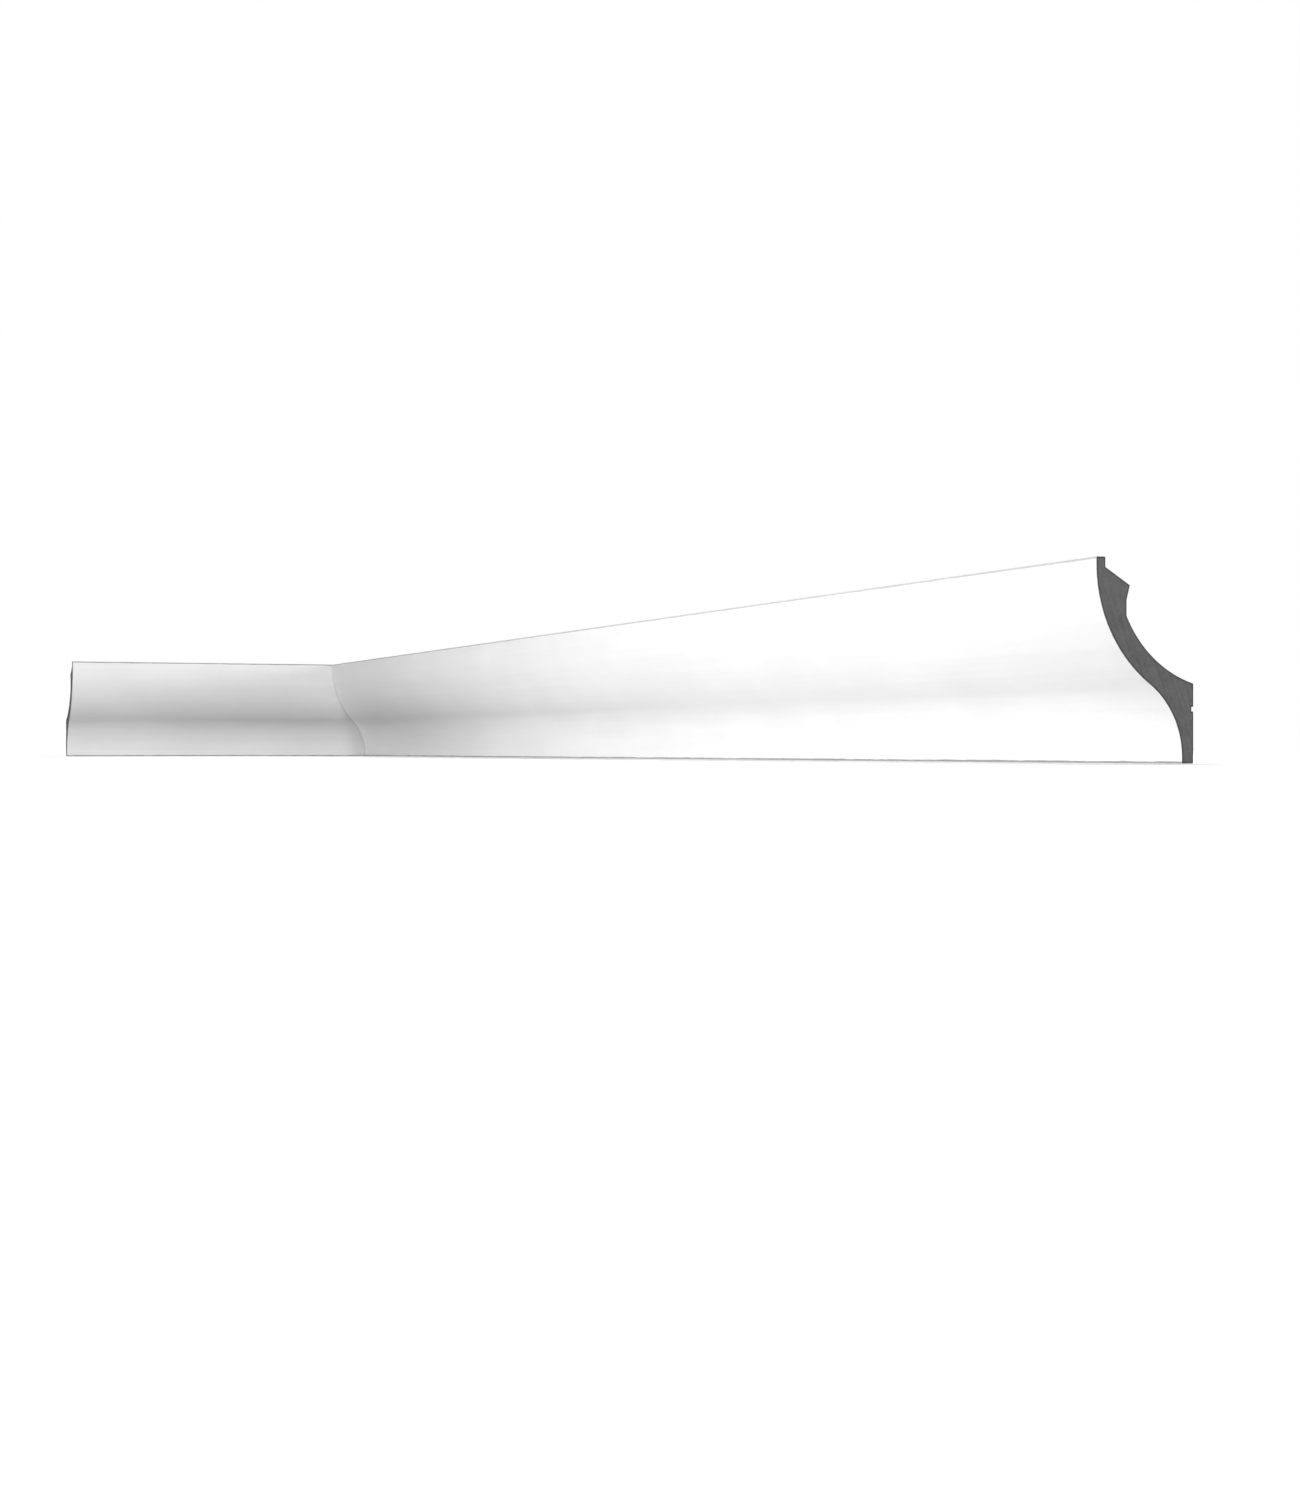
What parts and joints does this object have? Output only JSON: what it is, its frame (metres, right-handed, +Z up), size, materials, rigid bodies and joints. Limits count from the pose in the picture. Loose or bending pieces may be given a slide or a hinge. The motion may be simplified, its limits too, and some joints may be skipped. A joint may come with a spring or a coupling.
{
  "type": "cornice moulding",
  "caption": "Cornice moulding with an ovolo running into a cove, mitred round an inside corner: a long length and a short return, hollow behind, for the joint of wall and ceiling.",
  "frame": {"origin": "the corner where the two walls meet, at the height of the moulding's lower edges", "axes": "+Z up to the ceiling; +X along the long length, whose wall is the plane y = 0; -Y along the return, whose wall is the plane x = 0"},
  "size_m": [2, 0.4, 0.12],
  "materials": {
    "primed_foam": "hard moulded foam with a white factory primer, satin matt",
    "sawn_foam": "dark grey fine-celled foam where the length is sawn square, dull"
  },
  "bodies": {
    "root": {"long_length": "primed_foam", "return_length": "primed_foam"}
  },
  "joints": []
}
